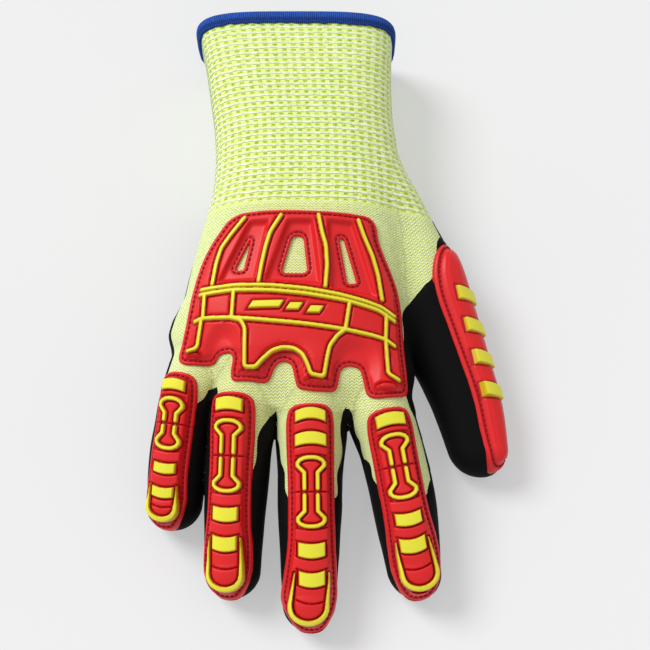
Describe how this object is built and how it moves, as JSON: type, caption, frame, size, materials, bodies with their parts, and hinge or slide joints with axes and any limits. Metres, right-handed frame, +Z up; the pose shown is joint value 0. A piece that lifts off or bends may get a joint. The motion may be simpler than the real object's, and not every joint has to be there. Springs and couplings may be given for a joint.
{
  "type": "impact glove",
  "caption": "Knitted work glove for the right hand with a ribbed cuff, dipped palm coating and raised rubber impact guards on the back, fingers and thumb.",
  "frame": {"origin": "on the surface that the glove lies on, under the middle of the palm", "axes": "+Z up, out of the back of the hand; +Y along the glove from the fingertips to the cuff; +X towards the thumb"},
  "size_m": [0.1517, 0.2625, 0.0617],
  "materials": {
    "knit": "knitted high-visibility polyethylene yarn",
    "hem": "overlocked polyester thread",
    "coating": "sandy dipped nitrile foam",
    "guard": "moulded satin thermoplastic rubber",
    "rib": "moulded satin thermoplastic rubber"
  },
  "bodies": {
    "root": {"knit_shell": "knit", "cuff_hem": "hem", "palm_coating": "coating", "back_guard": "guard", "back_rib_1": "rib", "back_rib_2": "rib", "back_rib_3": "rib", "back_rib_4": "rib", "knuckle_frame": "rib", "plate_bar_1": "rib", "plate_bar_2": "rib", "plate_bar_3": "rib", "little_guard": "guard", "little_bar_1": "rib", "little_bar_2": "rib", "little_bar_3": "rib", "little_bone_upper": "rib", "little_bone_lower": "rib", "little_tip_rib": "rib", "ring_guard": "guard", "ring_bar_1": "rib", "ring_bar_2": "rib", "ring_bar_3": "rib", "ring_bone_upper": "rib", "ring_bone_lower": "rib", "ring_tip_rib": "rib", "middle_guard": "guard", "middle_bar_1": "rib", "middle_bar_0": "rib", "middle_bar_2": "rib", "middle_bar_3": "rib", "middle_bone_upper": "rib", "middle_bone_lower": "rib", "middle_tip_rib": "rib", "index_guard": "guard", "index_bar_1": "rib", "index_bar_2": "rib", "index_bar_3": "rib", "index_bone_upper": "rib", "index_bone_lower": "rib", "index_tip_rib": "rib", "thumb_guard": "guard", "thumb_bar_1": "rib", "thumb_bar_2": "rib", "thumb_bar_3": "rib", "thumb_bar_4": "rib"}
  },
  "joints": []
}
